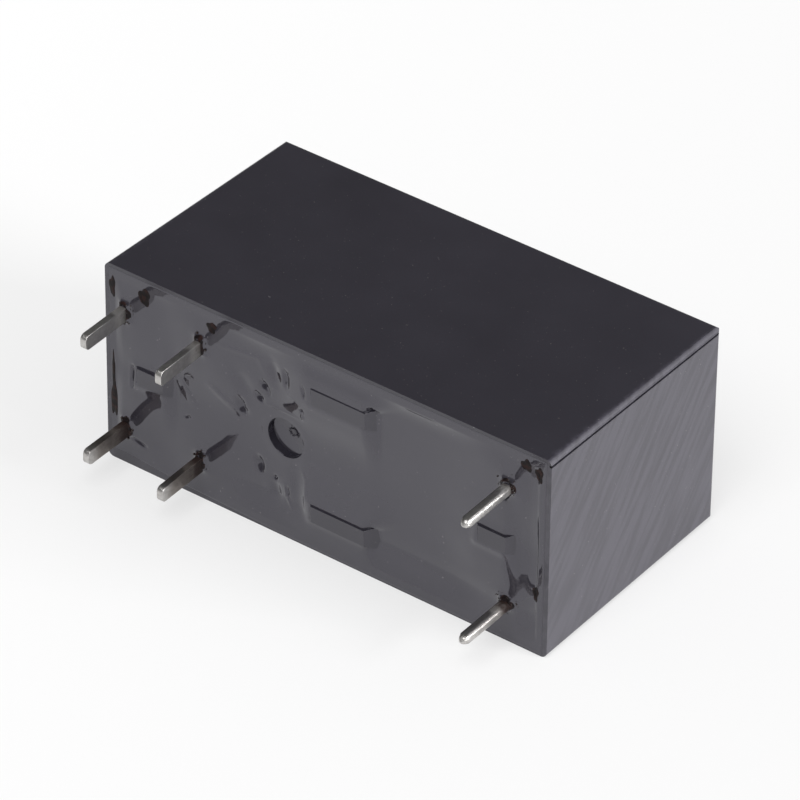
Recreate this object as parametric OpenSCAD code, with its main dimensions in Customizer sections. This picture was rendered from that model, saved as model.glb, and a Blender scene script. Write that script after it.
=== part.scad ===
// Sealed power relay for a circuit board: a black cover over a coil, a rocking armature and
// one normally open contact pair, with six solder pins through a resin-sealed base.
// Every piece is worked out standing on the board, with z = 0 on the board and x towards the
// coil pins, and lay() turns it onto its long side, as the relay lies on a table.

/* [Cover] */
// Length of the cover at its rim
cover_l = 29; // [26:0.1:34]
// Width of the cover at its rim
cover_w = 12.5; // [11.2:0.1:15]
// Height of the cover from its rim to its top
cover_h = 15.15; // [13.6:0.05:18]
// Thickness of the side and end walls
wall_t = 0.7; // [0.5:0.05:0.75]
// Thickness of the top
top_t = 0.8; // [0.6:0.05:1]
// Lean of each end wall over the full height
end_draft = 0.18; // [0.04:0.02:0.24]
// Lean of each side wall over the full height
side_draft = 0.08; // [0.04:0.02:0.16]
// Radius of the outer edges
edge_r = 0.4; // [0.2:0.05:0.5]

/* [Base and resin] */
// How far the standoffs hold the rim off the board
standoff_h = 0.3; // [0.2:0.05:0.6]
// Depth of the resin's surface below the rim
resin_sink = 0.25; // [0.15:0.05:0.4]
// Width of the strip where the resin climbs the wall
resin_climb = 0.9; // [0.6:0.1:1.2]
// Thickness of the resin over the base plate
resin_t = 0.75; // [0.5:0.05:1]
// Thickness of the base plate
base_t = 1.4; // [1.1:0.1:1.6]
// Length of the two standoff bars
bar_l = 3.5; // [2.5:0.1:4.5]
// Width of the standoffs at the board
bar_w = 1; // [0.7:0.1:1.4]
// Spread of a standoff's long flanks from the board to the resin
bar_flank = 0.2; // [0.1:0.05:0.3]
// Spread of a standoff's ends from the board to the resin
bar_ramp = 0.6; // [0.2:0.05:0.6]
// Middle of the bars, measured from the common pins
bar_at = 9.2; // [8:0.1:11]
// Diameter of the vent well
vent_d = 2.4; // [1.6:0.1:2.8]
// Middle of the vent well, measured from the common pins
vent_at = 5.45; // [4.5:0.05:6]
// Thickness of the wall between contacts and coil
barrier_t = 0.8; // [0.6:0.1:1]

/* [Pins] */
// Length of the contact pins below the board's face
contact_pin_l = 3.3; // [2.5:0.1:5]
// Length of the coil pins below the board's face
coil_pin_l = 3.7; // [2.5:0.1:5]
// Pitch across the two rows of pins
row_pitch = 7.5; // [7.3:0.1:7.7]
// Pitch from the fixed contact's pins to the common pins
contact_pitch = 5; // [4.8:0.1:5.2]
// Distance from the cover's contact end to the first pins
contact_end = 1.45; // [1.3:0.05:1.6]
// Distance from the coil pins to the cover's other end
coil_end = 2.55; // [2.3:0.05:3]
// Width of a contact pin
contact_w = 0.9; // [0.7:0.1:1.1]
// Thickness of the contact terminals
contact_t = 0.4; // [0.3:0.05:0.6]
// Radius of the corners at a contact pin's tip
tip_r = 0.3; // [0.1:0.05:0.3]
// Side of a square coil pin
coil_pin = 0.6; // [0.5:0.05:0.7]

/* [Magnet] */
// Room from the common pins to the bobbin, for the contact spring and the insulating wall
contact_room = 4.65; // [4.2:0.05:5.2]
// Room between the bobbin's flanges and the side walls
side_room = 0.45; // [0.3:0.05:0.8]
// Room between the card's guides and the cover's top
head_room = 0.9; // [0.5:0.05:1.5]
// Thickness of the bobbin's flanges
flange_t = 1; // [0.7:0.1:1.2]
// Depth of the winding below the flanges' edges
winding_in = 0.25; // [0.1:0.05:0.6]
// Share of the winding's diameter that the core takes
core_share = 0.55; // [0.45:0.01:0.6]
// Diameter of the pole face
pole_d = 6.2; // [5:0.1:7]
// Thickness of the yoke
yoke_t = 1.2; // [1:0.05:1.3]
// How far the yoke and the armature stay inside the flanges' width
yoke_in = 0.6; // [0.3:0.05:1]
// Thickness of the armature
armature_t = 1; // [0.8:0.05:1.1]

/* [Contact drive] */
// Travel of the actuator card
card_travel = 0.7; // [0.5:0.05:0.75]
// Thickness of the actuator card
card_t = 1; // [0.8:0.05:1.1]
// Width of the actuator card
card_w = 5.2; // [4.6:0.1:5.6]
// Height of the common terminal above the base plate
common_h = 2.6; // [2.4:0.05:3]
// Thickness of the contact spring
spring_t = 0.25; // [0.2:0.05:0.35]
// Width of the contact spring
spring_w = 5; // [4.6:0.1:6]
// Diameter of the contact buttons
button_d = 3.2; // [2.6:0.1:3.6]

/* [Output] */
// Piece to build

/* [Hidden] */
$fn = 64;

// Clearances: a close fit, a running fit, and what is left where two pieces meet at work
fit = 0.05;
run = 0.1;
touch = 0.05;

// How far one solid reaches into another where they are joined, and how far a cut overshoots
bite = 0.2;
past = 1;

// Levels above the board
rim_z = standoff_h;
resin_z = rim_z + resin_sink;
base_z = resin_z + resin_t;
floor_z = base_z + base_t;

// Inside of the cover at its rim
in_l = cover_l - 2*wall_t;
in_w = cover_w - 2*wall_t;
in_h = cover_h - top_t;
roof_z = rim_z + in_h;

// Collar around the vent well, which keeps the resin out
collar_t = 0.25;
collar_d = vent_d + 2*collar_t;

// Pin places along the relay and across it
fixed_x = -cover_l/2 + contact_end;
common_x = fixed_x + contact_pitch;
coil_x = cover_l/2 - coil_end;
pin_y = row_pitch/2;

// Armature's round heel, just inside the coil pins, and the foot between them
heel_in = 0.35;
heel_x = coil_x - heel_in;
heel_z = floor_z + yoke_t + fit;
heel_r = armature_t/2;
pin_room = 0.65;
foot_w = row_pitch - coil_pin - 2*pin_room;
foot_h = 2;

// Card's guides on the bobbin, and the room that they leave for its flanges
guide_h = card_t + 2*run;
guide_t = 0.8;
hook_t = 0.4;
flange_h = roof_z - head_room - hook_t - guide_h - heel_z;
flange_w = in_w - 2*side_room;

// Pole, bobbin and yoke, set out from the closed armature
pole_t = 0.8;
pole_x = heel_x - heel_r - touch;
flange_x1 = pole_x - pole_t - fit;
flange_x0 = common_x + contact_room;
bobbin_l = flange_x1 - flange_x0;
coil_z = heel_z + flange_h/2;
winding_d = flange_h - 2*winding_in;
tube_t = 0.6;
core_d = core_share*winding_d;
tube_d = core_d + 2*fit + 2*tube_t;
spigot_in = 0.65;
spigot_d = core_d - 2*spigot_in;
peen_t = 0.4;
peen_d = spigot_d + 2*peen_t;
yoke_x = flange_x0 - fit - yoke_t;
yoke_lip = 0.1;
yoke_end = heel_x + heel_r + yoke_lip;
yoke_w = flange_w - 2*yoke_in;
bend_in = 0.1;

// Wall between contacts and coil, clear of the core's peened end
barrier_x = yoke_x - 2*peen_t - barrier_t;

// Card over the bobbin, and the armature's shoulders below it and its tongue through it
card_z = coil_z + flange_h/2 + run;
push_z = card_z + card_t/2;
tongue_w = 3;
shoulder_in = 0.7;
open_deg = atan(card_travel/(push_z - heel_z));

// Contact spring on the common terminal: its pivot, its foot and its swing
pivot_x = common_x + contact_t/2;
pivot_z = floor_z + common_h;
foot_in = 1.4;
foot_z = pivot_z - foot_in;
reach = push_z - pivot_z;
spring_deg = atan(card_travel/reach);

// Rivets through the spring's foot, with room under their heads for the swing
rivet_d = 0.9;
rivet_head = 1.4;
rivet_t = 0.25;
rivet_y = 1.4;
rivet_z = pivot_z - foot_in/2;
rivet_lift = (pivot_z - rivet_z + rivet_head/2)*sin(spring_deg) + fit;

// Contact buttons: where the moving one comes to sets the fixed one's face
lever = 0.56;
button_z = pivot_z + lever*reach;
button_h = 0.8;
dome_r = 6;
shank_d = button_d/2;
clench_d = shank_d + 0.7;
clench_t = 0.25;
seat_h = 0.5;
dome_x = pivot_x + (dome_r - button_h)*cos(spring_deg) - (button_z - pivot_z)*sin(spring_deg);
face_x = dome_x - dome_r - touch;
plate_x = face_x - seat_h - contact_t/2;

// Terminals' cross bars and the coil pins' posts on the base plate
cross_h = 1.1;
bar_z = floor_z + cross_h;
post_h = 2;

// Leaf under the yoke, and where the coil's ends leave the winding
leaf_t = 0.2;
leaf_w = 4;
lead_in = 0.5;
lead_y = min(pin_y, winding_d/2) - lead_in;
lead_z = coil_z - sqrt(winding_d*winding_d/4 - lead_y*lead_y) + bite;

// Turns a standing piece onto its long side
module lay() {
    rotate([-90, 0, 0]) children();
}

// Extrudes a profile drawn in x and z evenly to both sides of the middle plane
module across(w) {
    rotate([90, 0, 0]) linear_extrude(height = w, center = true) children();
}

// Extrudes a profile drawn in y and z along x, from the given place
module along(x, l) {
    translate([x, 0, 0]) rotate([90, 0, 90]) linear_extrude(height = l) children();
}

// Round bar along x
module round_x(d, x, l) {
    translate([x, 0, 0]) rotate([0, 90, 0]) cylinder(d = d, h = l);
}

// Side view of a moulded block: leaning flanks and a rounded top, on the line z = 0
module leaning(half, h, lean, r) {
    slant = sqrt(h*h + lean*lean);
    mid = half - (r*slant + lean*(h - r))/h;
    side = mid + r*h/slant;
    shoulder = h - r + r*lean/slant;
    polygon([[-half, 0], [half, 0], [side, shoulder], [mid, h], [-mid, h], [-side, shoulder]]);
    for (s = [-1, 1]) translate([s*mid, h - r]) circle(r);
}

// What the rounding of a block's upright edge takes away, along the edge where two leaning walls meet
module edge_waste(l, w, h, end_lean, side_lean, r) {
    axis_in = 0.99*r;
    side_tilt = asin(side_lean/norm([end_lean, side_lean, h]));
    translate([l/2 - axis_in, w/2 - axis_in, 0]) rotate([side_tilt, -atan(end_lean/h), 0])
        translate([0, 0, -past]) difference() {
            cube([2*r, 2*r, h + 2*past]);
            translate([0, 0, -past]) cylinder(r = r, h = h + 4*past);
        }
}

// Moulded block with leaning walls and round edges, standing on the rim's level
module moulded(l, w, h, r) {
    end_lean = end_draft*h/cover_h;
    side_lean = side_draft*h/cover_h;
    translate([0, 0, rim_z]) difference() {
        intersection() {
            across(w) leaning(l/2, h, end_lean, r);
            along(-l/2, l) leaning(w/2, h, side_lean, r);
        }
        for (i = [0, 1], j = [0, 1]) mirror([i, 0, 0]) mirror([0, j, 0])
            edge_waste(l, w, h, end_lean, side_lean, r);
    }
}

// Space inside the cover
module cavity() {
    moulded(in_l, in_w, in_h, edge_r/2);
}

// Standoff from the base plate to the board, with leaning flanks
module standoff(l) {
    depth = base_z/resin_z;
    wide = bar_flank*depth + bar_w/2;
    long = bar_ramp*depth + l/2;
    intersection() {
        across(2*wide) polygon([[-l/2, 0], [l/2, 0], [long, base_z], [-long, base_z]]);
        along(-long, 2*long) polygon([[-bar_w/2, 0], [bar_w/2, 0], [wide, base_z], [-wide, base_z]]);
    }
}

// Two long bars in the pin rows and a short one at each end
module standoffs() {
    for (s = [-1, 1]) translate([common_x + bar_at, s*pin_y, 0]) standoff(bar_l);
    for (x = [fixed_x + bar_l/2, coil_x - bar_l/4]) translate([x, 0, 0]) standoff(bar_l/2);
}

// Places something at the vent
module at_vent(z) {
    translate([common_x + vent_at, 0, z]) children();
}

// Holes for the six pins between two levels, wider than the pins by the given gap
module pin_holes(z0, z1, gap) {
    for (s = [-1, 1]) translate([0, s*pin_y, (z0 + z1)/2]) {
        for (x = [fixed_x, common_x]) translate([x, 0, 0])
            cube([contact_t + 2*gap, contact_w + 2*gap, z1 - z0], center = true);
        translate([coil_x, 0, 0]) cube([coil_pin + 2*gap, coil_pin + 2*gap, z1 - z0], center = true);
    }
}

// Two pins cut from sheet, with rounded tips, and the bar that joins them on the base plate
module pin_pair(x) {
    flat = contact_w - 2*tip_r;
    along(x - contact_t/2, contact_t) {
        for (s = [-1, 1]) translate([s*pin_y, -contact_pin_l]) {
            translate([-contact_w/2, tip_r]) square([contact_w, contact_pin_l - tip_r + floor_z + bite]);
            translate([-flat/2, 0]) square([flat, 2*tip_r]);
            for (c = [-1, 1]) translate([c*flat/2, tip_r]) circle(tip_r);
        }
        translate([-pin_y - contact_w/2, floor_z]) square([row_pitch + contact_w, bar_z - floor_z]);
    }
}

// Side view of a square pin with a bevelled tip
module bevelled_pin() {
    half = coil_pin/2;
    tip = 0.6*half;
    end = -coil_pin_l;
    shoulder = end + 1.3*half;
    top = floor_z + post_h;
    polygon([[-tip, end], [tip, end], [half, shoulder], [half, top], [-half, top], [-half, shoulder]]);
}

// Strip of sheet bent along a row of points, drawn in x and z
module strip(points, t) {
    for (i = [0:len(points) - 2]) {
        leg = points[i + 1] - points[i];
        translate(points[i]) rotate(atan2(leg[1], leg[0])) translate([0, -t/2]) square([norm(leg), t]);
    }
    for (i = [1:len(points) - 2]) translate(points[i]) circle(d = t);
}

// Straight round wire between two points, with a bead on the second
module wire(p, q, d) {
    v = q - p;
    translate(p) rotate([0, acos(v[2]/norm(v)), atan2(v[1], v[0])]) cylinder(d = d, h = norm(v));
    translate(q) sphere(d = 1.3*d);
}

// Button's shank through a sheet and the clenched end behind it
module clench(x, t, side) {
    round_x(shank_d, x - bite, t + 2*bite);
    round_x(clench_d, side > 0 ? x + t : x - clench_t, clench_t);
}

// Box moulding in black plastic, open towards the board
module cover() {
    color("#26262a") lay() difference() {
        moulded(cover_l, cover_w, cover_h, edge_r);
        cavity();
    }
}

// Inner moulding that carries every terminal, with standoffs, vent well and insulating wall
module base_plate() {
    gap = 2*fit;
    pip_d = 0.75;
    pip_h = 0.15;
    color("#303034") lay() {
        difference() {
            union() {
                translate([-in_l/2 + gap, -in_w/2 + gap, base_z]) cube([in_l - 2*gap, in_w - 2*gap, base_t]);
                standoffs();
                at_vent(resin_z) cylinder(d = collar_d, h = resin_t + bite);
                translate([barrier_x, -flange_w/2, floor_z - bite])
                    cube([barrier_t, flange_w, card_z - run - floor_z + bite]);
            }
            pin_holes(base_z - past, floor_z + past, fit);
            at_vent(resin_z - past) cylinder(d = vent_d, h = resin_t + past);
            hinge_leaf(leaf_t, fit);
        }
        at_vent(base_z - pip_h) cylinder(d1 = pip_d/2, d2 = pip_d, h = pip_h + bite);
    }
}

// Side view of the hollow over the resin's surface, down to the level it sinks to
module sunk(half) {
    flat = half - resin_climb;
    r = (resin_climb*resin_climb + resin_sink*resin_sink)/(2*resin_sink);
    translate([-flat, rim_z - past]) square([2*flat, past + resin_sink]);
    for (s = [-1, 1]) intersection() {
        translate([s*flat, resin_z - r]) circle(r);
        translate([s*(half - resin_climb/2), rim_z]) square([resin_climb, 2*resin_sink], center = true);
    }
}

// Cast epoxy over the base plate, climbing the cover's wall and the pins
module sealing_resin() {
    neck_d = contact_w + 0.3;
    root_d = 2*contact_w;
    color("#1b1b1e") lay() difference() {
        intersection() {
            cavity();
            union() {
                difference() {
                    translate([-cover_l/2, -cover_w/2, rim_z]) cube([cover_l, cover_w, base_z - rim_z]);
                    intersection() {
                        across(cover_w) sunk(in_l/2);
                        along(-cover_l/2, cover_l) sunk(in_w/2);
                    }
                }
                for (x = [fixed_x, common_x, coil_x], s = [-1, 1])
                    translate([x, s*pin_y, rim_z + touch]) cylinder(d1 = neck_d, d2 = root_d, h = resin_sink);
            }
        }
        pin_holes(rim_z - past, base_z + past, 0);
        standoffs();
        at_vent(rim_z - past) cylinder(d = collar_d, h = base_z - rim_z + 2*past);
    }
}

// Plastic former for the coil, with hooked guides on top for the card
module bobbin() {
    notch_w = pin_y - lead_y + 2*lead_in;
    notch_h = 2*(lead_z - heel_z);
    color("#c9c4b4") lay() translate([0, 0, coil_z]) difference() {
        union() {
            round_x(tube_d, flange_x0 + bite, bobbin_l - 2*bite);
            for (x = [flange_x0, flange_x1 - flange_t]) translate([x, 0, 0]) {
                translate([0, -flange_w/2, -flange_h/2]) cube([flange_t, flange_w, flange_h]);
                for (s = [-1, 1]) translate([flange_t/2, s*(card_w/2 + run + guide_t/2), flange_h/2]) {
                    translate([0, 0, (guide_h + hook_t - bite)/2])
                        cube([flange_t, guide_t, guide_h + hook_t + bite], center = true);
                    translate([0, -s*hook_t, guide_h + hook_t/2])
                        cube([flange_t, guide_t, hook_t], center = true);
                }
            }
        }
        round_x(core_d + 2*fit, flange_x0 - past, bobbin_l + 2*past);
        for (s = [-1, 1]) translate([flange_x1 - flange_t/2, s*(lead_y + pin_y)/2, -flange_h/2])
            cube([2*flange_t, notch_w, notch_h], center = true);
    }
}

// Enamelled copper coil, with its two ends led through the flange and wound onto the pins
module coil_winding() {
    lead_d = 0.25;
    wrap_h = 0.8;
    wrap_z = floor_z + post_h/2;
    color("#b4612c") lay() {
        translate([0, 0, coil_z]) difference() {
            round_x(winding_d, flange_x0 + flange_t + fit, bobbin_l - 2*flange_t - 2*fit);
            round_x(tube_d + 2*fit, flange_x0, bobbin_l);
        }
        for (i = [0, 1]) mirror([0, i, 0]) {
            bend = [flange_x1 + fit, pin_y, wrap_z + wrap_h];
            wire([flange_x1 - flange_t - 2*bite, lead_y, lead_z], bend, lead_d);
            wire(bend, [coil_x - 0.8*coil_pin, pin_y, wrap_z + wrap_h/2], lead_d);
            translate([coil_x, pin_y, wrap_z]) difference() {
                cylinder(d = 2*coil_pin, h = wrap_h);
                translate([0, 0, wrap_h/2]) cube([coil_pin + fit, coil_pin + fit, 2*wrap_h], center = true);
            }
        }
    }
}

// Soft iron core with a pole disc, its far end peened over behind the yoke
module core() {
    color("#9a9ca0") lay() translate([0, 0, coil_z]) {
        round_x(core_d, flange_x0, bobbin_l + fit + bite);
        round_x(pole_d, pole_x - pole_t, pole_t);
        round_x(spigot_d, yoke_x - bite, yoke_t + 2*bite);
        round_x(peen_d, yoke_x - peen_t, peen_t);
    }
}

// Bent iron plate from behind the coil to the groove for the armature's heel
module yoke() {
    bend = yoke_t + bend_in;
    top = coil_z + flange_h/2 - bite;
    neck_x = pole_x - 2*bite;
    color("#8e9094") lay() difference() {
        intersection() {
            across(yoke_w) {
                translate([yoke_x + bend, floor_z]) square([yoke_end - yoke_x - bend, yoke_t]);
                translate([yoke_x, floor_z + bend]) square([yoke_t, top - floor_z - bend]);
                intersection() {
                    translate([yoke_x + bend, floor_z + bend]) difference() {
                        circle(bend);
                        circle(bend_in);
                    }
                    translate([yoke_x, floor_z]) square(bend);
                }
            }
            translate([0, 0, floor_z]) linear_extrude(height = cover_h) {
                translate([yoke_x, -yoke_w/2]) square([neck_x - yoke_x, yoke_w]);
                translate([neck_x - bite, -foot_w/2]) square([yoke_end - neck_x + bite, foot_w]);
            }
        }
        translate([heel_x, 0, heel_z]) across(yoke_w) circle(heel_r + fit/2);
        translate([0, 0, coil_z]) round_x(spigot_d + fit, yoke_x - past, yoke_t + 2*past);
    }
}

// Iron plate that rocks on its round heel in the yoke's groove, drawn open
module armature() {
    top = push_z + card_t - heel_z;
    shoulder = flange_h - shoulder_in;
    color("#a3a5a9") lay() translate([heel_x, 0, heel_z]) rotate([0, open_deg, 0]) intersection() {
        across(yoke_w) {
            translate([-heel_r, 0]) square([armature_t, top]);
            circle(heel_r);
        }
        along(-armature_t, 2*armature_t) {
            translate([-foot_w/2, -armature_t]) square([foot_w, shoulder]);
            translate([-yoke_w/2, foot_h]) square([yoke_w, shoulder - foot_h]);
            translate([-tongue_w/2, foot_h]) square([tongue_w, top - foot_h]);
        }
    }
}

// Side view of the leaf under the yoke, turned up behind the armature, grown by the given gap
module hinge_leaf(t, gap) {
    stand = heel_x + heel_r/cos(open_deg) + foot_h*tan(open_deg) + 2*touch;
    across(leaf_w + 2*gap) {
        translate([heel_x - leaf_w - gap, floor_z - t]) square([stand + t + leaf_w - heel_x + 2*gap, t]);
        translate([stand - gap, floor_z - t]) square([t + 2*gap, heel_z + foot_h - floor_z]);
    }
}

// Thin leaf clamped under the yoke that keeps the armature's heel in its groove
module hinge_spring() {
    color("#b99a55") lay() hinge_leaf(leaf_t, 0);
}

// Plastic slider over the coil that carries the armature's motion to the contact spring
module actuator_card() {
    nose_x = pivot_x + spring_t + touch + card_t/2;
    slot_x = heel_x + card_travel;
    slot_l = armature_t/cos(open_deg) + card_t*tan(open_deg) + 2*touch;
    end_t = 0.35;
    end_x = slot_x + slot_l/2 + end_t;
    windows = 3;
    web = 2;
    window_l = (slot_x - nose_x)/windows - web;
    color("#d8d2c2") lay() difference() {
        across(card_w) {
            translate([nose_x, card_z]) square([end_x - nose_x, card_t]);
            translate([nose_x, push_z]) circle(d = card_t);
        }
        translate([slot_x, 0, push_z]) cube([slot_l, tongue_w + 2*run, 2*card_t], center = true);
        for (i = [0:windows - 1]) translate([nose_x + (window_l + web)*(i + 0.5), 0, push_z])
            cube([window_l, card_w/2, 2*card_t], center = true);
    }
}

// Copper alloy leaf against the common terminal, drawn at rest
module contact_spring() {
    top = push_z + card_t/2;
    color("#b87f45") lay() difference() {
        along(pivot_x, spring_t) translate([-spring_w/2, foot_z]) square([spring_w, top - foot_z]);
        translate([0, 0, button_z]) round_x(shank_d + fit, pivot_x - past, 2*past);
        for (s = [-1, 1]) translate([0, s*rivet_y, rivet_z]) round_x(rivet_d + 2*run, pivot_x - past, 2*past);
    }
}

// Silver alloy button riveted through the spring, with a domed face
module moving_contact() {
    color("#c8c9c6") lay() translate([0, 0, button_z]) {
        intersection() {
            round_x(button_d, pivot_x - button_h - bite, button_h + bite);
            translate([pivot_x - button_h + dome_r, 0, 0]) sphere(r = dome_r);
        }
        clench(pivot_x, spring_t, 1);
    }
}

// Copper strip with two pins, which carries the contact spring
module common_terminal() {
    color("#c7c5bf") lay() difference() {
        union() {
            pin_pair(common_x);
            along(common_x - contact_t/2, contact_t)
                translate([-spring_w/2, floor_z]) square([spring_w, pivot_z - floor_z]);
        }
        for (s = [-1, 1]) translate([0, s*rivet_y, rivet_z]) round_x(rivet_d + fit, common_x - past, 2*past);
    }
}

// Two rivets through the foot of the contact spring
module spring_rivets() {
    back_x = common_x - contact_t/2;
    head_x = pivot_x + spring_t + rivet_lift;
    color("#b9a06a") lay() for (s = [-1, 1]) translate([0, s*rivet_y, rivet_z]) {
        round_x(rivet_d, back_x - bite, head_x - back_x + 2*bite);
        round_x(rivet_head, back_x - rivet_t, rivet_t);
        round_x(rivet_head, head_x, rivet_t);
    }
}

// Copper strip with two pins, joggled towards the moving contact
module fixed_terminal() {
    jog_z = bar_z + plate_x - fixed_x;
    lip = 0.6;
    top = button_z + button_d/2 + lip;
    color("#c7c5bf") lay() difference() {
        union() {
            pin_pair(fixed_x);
            across(spring_w)
                strip([[fixed_x, floor_z], [fixed_x, bar_z], [plate_x, jog_z], [plate_x, top]], contact_t);
        }
        translate([0, 0, button_z]) round_x(shank_d + fit, plate_x - past, 2*past);
    }
}

// Silver alloy button riveted through the fixed terminal
module fixed_contact() {
    color("#c8c9c6") lay() translate([0, 0, button_z]) {
        round_x(button_d, face_x - seat_h, seat_h);
        clench(plate_x - contact_t/2, contact_t, -1);
    }
}

// Tinned square pin for one end of the coil
module coil_post(s) {
    color("#c9c8c4") lay() translate([coil_x, s*pin_y, 0]) intersection() {
        across(coil_pin) bevelled_pin();
        along(-coil_pin/2, coil_pin) bevelled_pin();
    }
}

cover();
base_plate();
sealing_resin();
bobbin();
coil_winding();
core();
yoke();
armature();
hinge_spring();
actuator_card();
contact_spring();
moving_contact();
common_terminal();
spring_rivets();
fixed_terminal();
fixed_contact();
coil_post(-1);  // coil_pin_a
coil_post(1);  // coil_pin_b
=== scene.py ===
# A sealed power relay lying on its long side on a white sheet, with its six solder pins and its
# resin-sealed base turned to the viewer. Everything is in metres, in the frame of the solids.
import math

import bmesh
import bpy
import numpy as np
from mathutils import Matrix, Vector


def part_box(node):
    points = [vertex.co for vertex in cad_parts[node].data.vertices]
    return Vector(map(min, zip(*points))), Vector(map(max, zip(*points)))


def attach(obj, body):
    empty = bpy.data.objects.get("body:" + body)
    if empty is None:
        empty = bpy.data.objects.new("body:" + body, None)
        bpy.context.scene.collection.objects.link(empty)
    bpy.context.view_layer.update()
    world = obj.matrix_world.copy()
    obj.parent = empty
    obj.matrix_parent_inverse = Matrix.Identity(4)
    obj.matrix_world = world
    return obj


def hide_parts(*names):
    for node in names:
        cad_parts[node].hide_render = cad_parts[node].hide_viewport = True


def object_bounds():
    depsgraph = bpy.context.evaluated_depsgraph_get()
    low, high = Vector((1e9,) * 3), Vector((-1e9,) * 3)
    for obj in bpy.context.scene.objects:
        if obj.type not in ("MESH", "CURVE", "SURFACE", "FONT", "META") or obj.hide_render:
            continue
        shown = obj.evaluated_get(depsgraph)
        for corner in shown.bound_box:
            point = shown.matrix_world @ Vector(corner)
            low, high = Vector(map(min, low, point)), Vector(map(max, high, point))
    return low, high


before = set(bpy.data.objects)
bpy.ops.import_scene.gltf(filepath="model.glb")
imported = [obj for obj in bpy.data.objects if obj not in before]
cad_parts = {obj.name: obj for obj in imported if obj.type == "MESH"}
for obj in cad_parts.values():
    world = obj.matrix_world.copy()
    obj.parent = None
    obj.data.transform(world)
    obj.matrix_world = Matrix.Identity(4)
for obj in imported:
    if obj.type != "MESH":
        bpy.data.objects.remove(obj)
solid_box = [list(corner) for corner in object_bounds()]
MM = 0.001


# Magnet: a pale moulded bobbin, its enamelled copper winding, and the plated soft iron core, yoke
# and armature. The core is peened into the yoke, and the armature rocks in the yoke's groove.
def feed(tree, socket, value):
    """Sets a socket to a value, or joins it to another socket."""
    if isinstance(value, bpy.types.NodeSocket):
        tree.links.new(value, socket)
    else:
        socket.default_value = value


def add(tree, kind, settings=None, **inputs):
    """A node with its settings, and each input given a value or joined to a socket."""
    made = tree.nodes.new(kind)
    for key, value in (settings or {}).items():
        setattr(made, key, value)
    for key, value in inputs.items():
        feed(tree, made.inputs[key.replace("_", " ")], value)
    return made


def joined(tree, kind, settings, *values):
    """The result of a node whose first inputs are given in order."""
    made = add(tree, kind, settings)
    for socket, value in zip(made.inputs, values):
        feed(tree, socket, value)
    return made.outputs[0]


def calc(tree, operation, *values):
    """One sum of up to three sockets or numbers."""
    return joined(tree, "ShaderNodeMath", {"operation": operation}, *values)


def blend_colour(tree, share, first, second):
    """The first colour where share is 0 and the second where it is 1."""
    made = add(tree, "ShaderNodeMix", {"data_type": "RGBA"})
    colour_sockets = {0: share, 6: first, 7: second}
    colour_result = 2
    for place, value in colour_sockets.items():
        feed(tree, made.inputs[place], value)
    return made.outputs[colour_result]


def tone(red, green, blue):
    """A colour as it is seen on a screen, from 0 to 255, for a shader."""
    def linear(step):
        share = step / 255
        return share / 12.92 if share <= 0.04045 else ((share + 0.055) / 1.055) ** 2.4
    return (linear(red), linear(green), linear(blue), 1.0)


def open_material(name):
    """A new material: its tree, its surface shader, and the place on the piece in metres."""
    material = bpy.data.materials.new(name)
    material.use_nodes = True
    tree = material.node_tree
    surface = tree.nodes["Principled BSDF"]
    place = tree.nodes.new("ShaderNodeTexCoord").outputs["Object"]
    return material, tree, surface, place


def speckle(tree, place, size, detail=2.0, stretch=(1, 1, 1)):
    """Cloudy variation from 0 to 1 with patches of about the given size."""
    scaled = add(tree, "ShaderNodeMapping", Vector=place, Scale=[s / size for s in stretch])
    noise = add(tree, "ShaderNodeTexNoise", Vector=scaled.outputs[0], Scale=1.0, Detail=detail)
    return noise.outputs[0]


def ramp(tree, value, low, high):
    """0 below low, 1 above high, and smooth between them."""
    made = add(tree, "ShaderNodeMapRange", {"interpolation_type": "SMOOTHSTEP"}, Value=value,
               From_Min=low, From_Max=high)
    return made.outputs[0]


def paint(tree, surface, colour):
    """Gives the surface its colour."""
    tree.links.new(colour, surface.inputs["Base Color"])


def polish(tree, surface, value, at_0, at_1):
    """Gives the surface one roughness where the value is 0 and another where it is 1."""
    spread = add(tree, "ShaderNodeMapRange", Value=value, To_Min=at_0, To_Max=at_1)
    tree.links.new(spread.outputs[0], surface.inputs["Roughness"])


def relief(tree, surface, height, depth):
    """Raises the surface by the height, from 0 to 1, times the depth."""
    bump = add(tree, "ShaderNodeBump", Height=height, Distance=depth, Strength=1.0)
    tree.links.new(bump.outputs[0], surface.inputs["Normal"])


def moulded_plastic(name, colour, deeper, roughness):
    """Plain moulding: faint clouds of colour and a fine grain."""
    material, tree, surface, place = open_material(name)
    spread = 0.08
    clouds = speckle(tree, place, size=2.5 * MM)
    grain = speckle(tree, place, size=0.08 * MM)
    paint(tree, surface, blend_colour(tree, clouds, deeper, colour))
    polish(tree, surface, grain, at_0=roughness - spread, at_1=roughness + spread)
    relief(tree, surface, grain, depth=0.004 * MM)
    return material


def rolled_metal(name, colour, deeper, roughness, along):
    """Sheet or bar metal with rolling marks drawn out along one axis, and dull patches."""
    material, tree, surface, place = open_material(name)
    surface.inputs["Metallic"].default_value = 1.0
    drawn_out = 0.05
    stretch = [drawn_out if axis == along else 1 for axis in "xyz"]
    marks = speckle(tree, place, size=0.06 * MM, detail=3.0, stretch=stretch)
    patches = speckle(tree, place, size=1.2 * MM)
    paint(tree, surface, blend_colour(tree, patches, deeper, colour))
    polish(tree, surface, patches, at_0=roughness - 0.1, at_1=roughness + 0.15)
    relief(tree, surface, marks, depth=0.003 * MM)
    return material


def dress(material, *nodes):
    """Gives solids of the frame a material."""
    for node in nodes:
        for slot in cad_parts[node].material_slots:
            slot.material = material


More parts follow.
